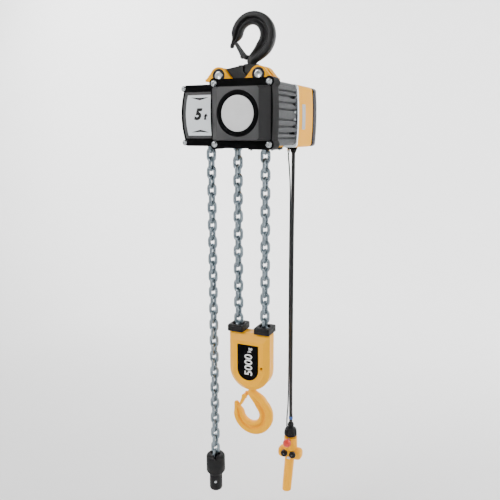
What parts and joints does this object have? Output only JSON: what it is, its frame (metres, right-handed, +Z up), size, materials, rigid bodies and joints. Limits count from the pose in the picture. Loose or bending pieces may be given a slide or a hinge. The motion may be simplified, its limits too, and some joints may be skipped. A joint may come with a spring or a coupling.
{
  "type": "electric chain hoist",
  "caption": "Five tonne electric chain hoist on two falls of load chain, with a top hook, a load block with hook, an end stop and a pendant control.",
  "frame": {"origin": "the seat of the top hook, on the load line", "axes": "+Z up, +X right along the front face, +Y back along the motor"},
  "size_m": [0.391, 0.516, 1.7988],
  "materials": {
    "black_plastic": "satin",
    "grey_plastic": "satin",
    "yellow_paint": "satin",
    "forged_steel": "matte",
    "cast_aluminium": "satin",
    "bright_steel": "satin",
    "copper": "satin",
    "rubber": "matte",
    "cable_sheath": "matte",
    "plate_white": "satin",
    "red_plastic": "satin",
    "end_cap_plastic": "satin"
  },
  "bodies": {
    "top_hook": {"top_hook": "forged_steel", "top_hook_nut": "bright_steel", "thrust_bearing": "bright_steel"},
    "top_latch": {"top_latch": "forged_steel"},
    "hoist_body": {"suspension_yoke": "forged_steel", "suspension_pin_left": "bright_steel", "suspension_pin_right": "bright_steel", "load_frame": "yellow_paint", "gear_housing": "cast_aluminium", "front_cover": "grey_plastic", "cover_ring": "black_plastic", "cover_disc": "plate_white", "cover_screw_1": "bright_steel", "cover_screw_2": "bright_steel", "cover_screw_3": "bright_steel", "cover_screw_4": "bright_steel", "side_cover": "black_plastic", "capacity_plate": "plate_white", "side_screw_1": "bright_steel", "side_screw_2": "bright_steel", "contactor": "grey_plastic", "motor_flange": "cast_aluminium", "motor_cover": "yellow_paint", "end_cap": "end_cap_plastic", "stator": "copper", "brake_magnet": "forged_steel", "bearing_plate": "cast_aluminium", "anchor_bracket": "yellow_paint", "chain_guide": "black_plastic", "cable_gland": "black_plastic", "standing_fall": "bright_steel"},
    "rotor": {"motor_shaft": "bright_steel", "rotor_core": "bright_steel"},
    "countershaft": {"intermediate_gear": "bright_steel"},
    "load_wheel": {"load_wheel": "bright_steel", "output_gear": "bright_steel"},
    "slack_fall": {"slack_fall": "bright_steel", "end_stop": "rubber"},
    "lifting_fall": {"lifting_fall": "bright_steel"},
    "load_block": {"block_front": "yellow_paint", "block_back": "yellow_paint", "block_label": "black_plastic", "guide_cap_left": "rubber", "guide_cap_right": "rubber", "idler_axle": "bright_steel", "hook_crosshead": "forged_steel"},
    "idler_wheel": {"idler_wheel": "bright_steel"},
    "load_hook": {"load_hook": "yellow_paint", "load_hook_nut": "bright_steel"},
    "load_hook_latch": {"load_hook_latch": "yellow_paint"},
    "pendant": {"pendant_cable": "cable_sheath", "relief_cord": "cable_sheath", "pendant_boot": "rubber", "pendant_body": "yellow_paint"},
    "up_button": {"up_button": "rubber"},
    "down_button": {"down_button": "rubber"},
    "stop_button": {"stop_button": "red_plastic"}
  },
  "joints": [
    {"name": "top_swivel", "type": "hinge", "parent": "top_hook", "child": "hoist_body", "pos_m": [0, 0, -0.15], "axis": [0, 0, 1], "continuous": true},
    {"name": "top_latch_hinge", "type": "hinge", "parent": "top_hook", "child": "top_latch", "pos_m": [-0.0255, 0, -0.098], "axis": [0, 1, 0], "range_deg": [0, 40], "stiffness_Nm_per_rad": 0.15, "springref_deg": -11.46},
    {"name": "lift", "type": "slide", "parent": "hoist_body", "child": "load_block", "axis": [0, 0, 1], "range_m": [-0.02, 0.055]},
    {"name": "lifting_fall_travel", "type": "slide", "parent": "hoist_body", "child": "lifting_fall", "axis": [0, 0, 1], "range_m": [-0.0401, 0.1101]},
    {"name": "slack_fall_travel", "type": "slide", "parent": "hoist_body", "child": "slack_fall", "axis": [0, 0, 1], "range_m": [-0.1101, 0.0401]},
    {"name": "load_wheel_turn", "type": "hinge", "parent": "hoist_body", "child": "load_wheel", "pos_m": [-0.102, 0, -0.283], "axis": [0, 1, 0], "range_deg": [-124, 46]},
    {"name": "countershaft_turn", "type": "hinge", "parent": "hoist_body", "child": "countershaft", "pos_m": [-0.029, 0, -0.283], "axis": [0, 1, 0], "range_deg": [-113, 308]},
    {"name": "rotor_turn", "type": "hinge", "parent": "hoist_body", "child": "rotor", "pos_m": [0.031, 0, -0.283], "axis": [0, 1, 0], "range_deg": [-615, 225]},
    {"name": "idler_turn", "type": "hinge", "parent": "load_block", "child": "idler_wheel", "pos_m": [0, 0, -1.125], "axis": [0, 1, 0], "range_deg": [-23, 62.2]},
    {"name": "load_hook_swivel", "type": "hinge", "parent": "load_block", "child": "load_hook", "pos_m": [0, 0, -1.218], "axis": [0, 0, 1], "continuous": true},
    {"name": "load_hook_latch_hinge", "type": "hinge", "parent": "load_hook", "child": "load_hook_latch", "pos_m": [-0.0255, 0, -1.289], "axis": [0, -1, 0], "range_deg": [0, 40], "stiffness_Nm_per_rad": 0.15, "springref_deg": -22.92},
    {"name": "pendant_swing", "type": "hinge", "parent": "hoist_body", "child": "pendant", "pos_m": [0.086, 0.177, -0.412], "axis": [1, 0, 0], "range_deg": [-8, 8]},
    {"name": "up_button_travel", "type": "slide", "parent": "pendant", "child": "up_button", "axis": [0, 1, 0], "range_m": [0, 0.004], "stiffness_N_per_m": 500, "springref_m": -0.001},
    {"name": "down_button_travel", "type": "slide", "parent": "pendant", "child": "down_button", "axis": [0, 1, 0], "range_m": [0, 0.004], "stiffness_N_per_m": 500, "springref_m": -0.001},
    {"name": "stop_button_travel", "type": "slide", "parent": "pendant", "child": "stop_button", "axis": [0, 1, 0], "range_m": [0, 0.004]}
  ],
  "couplings": [
    {"joint": "lifting_fall_travel", "follows": "lift", "ratio": 2},
    {"joint": "slack_fall_travel", "follows": "lift", "ratio": -2},
    {"joint": "load_wheel_turn", "follows": "lift", "rad_per_m": -39.216},
    {"joint": "countershaft_turn", "follows": "lift", "rad_per_m": 97.106},
    {"joint": "rotor_turn", "follows": "lift", "rad_per_m": -194.21},
    {"joint": "idler_turn", "follows": "lift", "rad_per_m": 19.608}
  ]
}
